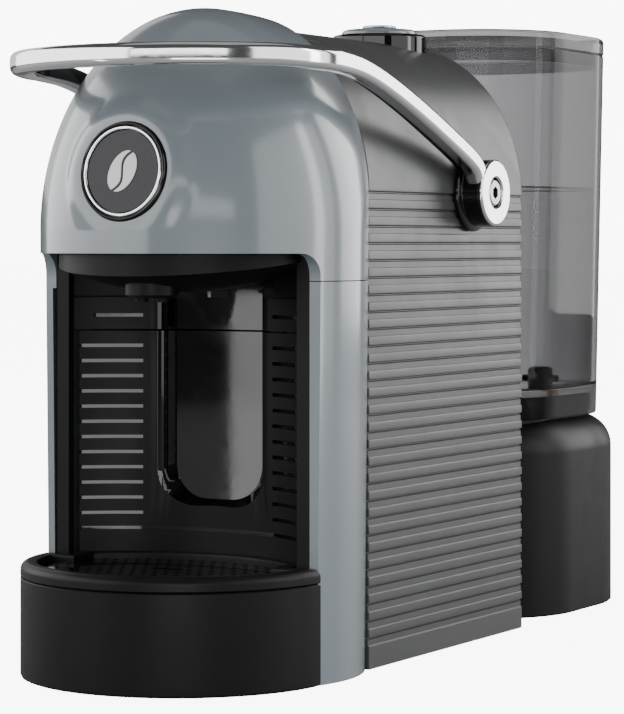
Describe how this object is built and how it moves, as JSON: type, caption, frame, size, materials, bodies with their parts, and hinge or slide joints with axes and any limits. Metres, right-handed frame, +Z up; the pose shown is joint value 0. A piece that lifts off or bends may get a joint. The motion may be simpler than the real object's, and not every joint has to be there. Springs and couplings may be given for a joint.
{
  "type": "pod coffee machine",
  "caption": "Compact pod coffee machine with an arched ribbed body, glossy domed front, U-shaped lifting lever, drip drawer and a clear rear water tank.",
  "frame": {"origin": "middle of the bounding box, on the table under the feet", "axes": "+Z up, -Y to the front where the cup stands, +X to the right seen from the front"},
  "size_m": [0.123, 0.333, 0.2285],
  "materials": {
    "hood_paint": "glossy blue-grey",
    "body_paint": "satin metallic grey",
    "matte_black": "fine satin grain",
    "gloss_black": "polished black",
    "chrome_plate": "bright chrome plate",
    "plain_steel": "plain steel",
    "cast_aluminium": "cast",
    "valve_brass": "turned",
    "black_rubber": "matt rubber",
    "smoke_clear": "smoky clear plastic",
    "white_plastic": "natural plastic",
    "circuit_board": "lacquered board"
  },
  "bodies": {
    "housing": {"front_hood": "hood_paint", "front_frame": "hood_paint", "body_shell": "body_paint", "rear_cover": "body_paint", "base_plate": "matte_black", "bay_liner": "matte_black", "brew_head_cover": "matte_black", "coffee_spout": "matte_black", "rear_base": "matte_black", "badge_bezel": "gloss_black", "button_bezel": "gloss_black", "badge_ring": "chrome_plate", "badge_disc": "plain_steel", "brew_frame": "plain_steel", "button_spring": "plain_steel", "pump": "plain_steel", "base_screw_1": "plain_steel", "base_screw_2": "plain_steel", "heater_block": "cast_aluminium", "capsule_chamber": "cast_aluminium", "pump_mount_front": "black_rubber", "pump_mount_rear": "black_rubber", "suction_hose": "black_rubber", "cable_gland": "black_rubber", "tank_seat": "black_rubber", "foot_1": "black_rubber", "foot_2": "black_rubber", "foot_3": "black_rubber", "foot_4": "black_rubber", "coffee_tube": "white_plastic", "hub_bush_right": "white_plastic", "hub_bush_left": "white_plastic", "button_switch": "white_plastic", "pressure_hose": "white_plastic", "control_board": "circuit_board"},
    "lever": {"lever_bar": "chrome_plate", "lever_insert": "gloss_black", "hub_right": "gloss_black", "hub_left": "gloss_black", "hub_cap_right": "chrome_plate", "hub_cap_left": "chrome_plate", "hub_screw_right": "plain_steel", "hub_screw_left": "plain_steel", "lever_shaft": "plain_steel"},
    "plunger_unit": {"plunger": "plain_steel", "plunger_seal": "black_rubber"},
    "lid": {"capsule_lid": "body_paint"},
    "button": {"power_button": "hood_paint", "button_disc": "plain_steel"},
    "drawer": {"drip_tray": "matte_black", "tray_rim": "matte_black", "capsule_bin": "matte_black"},
    "grid": {"drip_grid": "matte_black"},
    "tank": {"water_tank": "smoke_clear", "tank_filter": "matte_black", "valve_spring": "plain_steel"},
    "tank_cover": {"tank_lid": "smoke_clear"},
    "valve": {"tank_valve": "valve_brass"}
  },
  "joints": [
    {"name": "lever_lift", "type": "hinge", "parent": "housing", "child": "lever", "pos_m": [0, 0.0037, 0.1641], "axis": [-1, 0, 0], "range_deg": [0, 88]},
    {"name": "plunger_draw", "type": "slide", "parent": "housing", "child": "plunger_unit", "axis": [0, 1, 0], "range_m": [0, 0.014]},
    {"name": "capsule_lid_open", "type": "hinge", "parent": "housing", "child": "lid", "pos_m": [0, -0.0523, 0.2214], "axis": [-1, 0, 0], "range_deg": [0, 75]},
    {"name": "power_button_press", "type": "slide", "parent": "housing", "child": "button", "axis": [0, 0, -1], "range_m": [0, 0.002], "stiffness_N_per_m": 600, "springref_m": -0.001, "deforming": ["button_spring"]},
    {"name": "drip_drawer_slide", "type": "slide", "parent": "housing", "child": "drawer", "axis": [0, -1, 0], "range_m": [0, 0.12]},
    {"name": "drip_grid_lift", "type": "slide", "parent": "drawer", "child": "grid", "axis": [0, 0, 1], "range_m": [0, 0.03]},
    {"name": "tank_lift", "type": "slide", "parent": "housing", "child": "tank", "axis": [0, 0, 1], "range_m": [0, 0.08]},
    {"name": "tank_lid_lift", "type": "slide", "parent": "tank", "child": "tank_cover", "axis": [0, 0, 1], "range_m": [0, 0.03]},
    {"name": "tank_valve_open", "type": "slide", "parent": "tank", "child": "valve", "axis": [0, 0, 1], "range_m": [0, 0.003], "stiffness_N_per_m": 60, "springref_m": -0.002, "deforming": ["valve_spring"]}
  ],
  "couplings": [
    {"joint": "plunger_draw", "follows": "lever_lift", "m_per_rad": 0.009},
    {"joint": "capsule_lid_open", "follows": "lever_lift", "ratio": 0.8}
  ]
}
